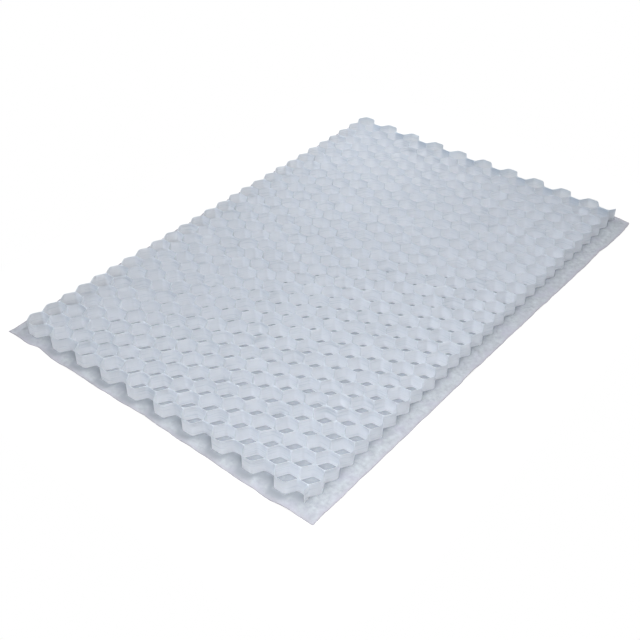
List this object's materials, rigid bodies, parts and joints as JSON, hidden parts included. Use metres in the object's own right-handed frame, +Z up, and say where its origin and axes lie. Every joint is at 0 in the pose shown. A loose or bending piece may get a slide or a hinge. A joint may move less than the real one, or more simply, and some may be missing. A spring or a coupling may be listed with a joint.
{
  "type": "gravel grid",
  "caption": "Flat honeycomb panel of open hexagonal plastic cells on a bonded geotextile membrane, laid on the ground and filled with gravel to keep it in place.",
  "frame": {"origin": "under the middle of the membrane, on the ground", "axes": "+Z up out of the open cells, +Y along the panel's long side, +X across it"},
  "size_m": [0.8152, 1.191, 0.033],
  "materials": {
    "honeycomb": "satin white polypropylene, slightly translucent",
    "membrane": "white non-woven polypropylene fleece, matt"
  },
  "bodies": {
    "root": {"grid_near": "honeycomb", "grid_middle": "honeycomb", "grid_far": "honeycomb", "geotextile_membrane": "membrane"}
  },
  "joints": []
}
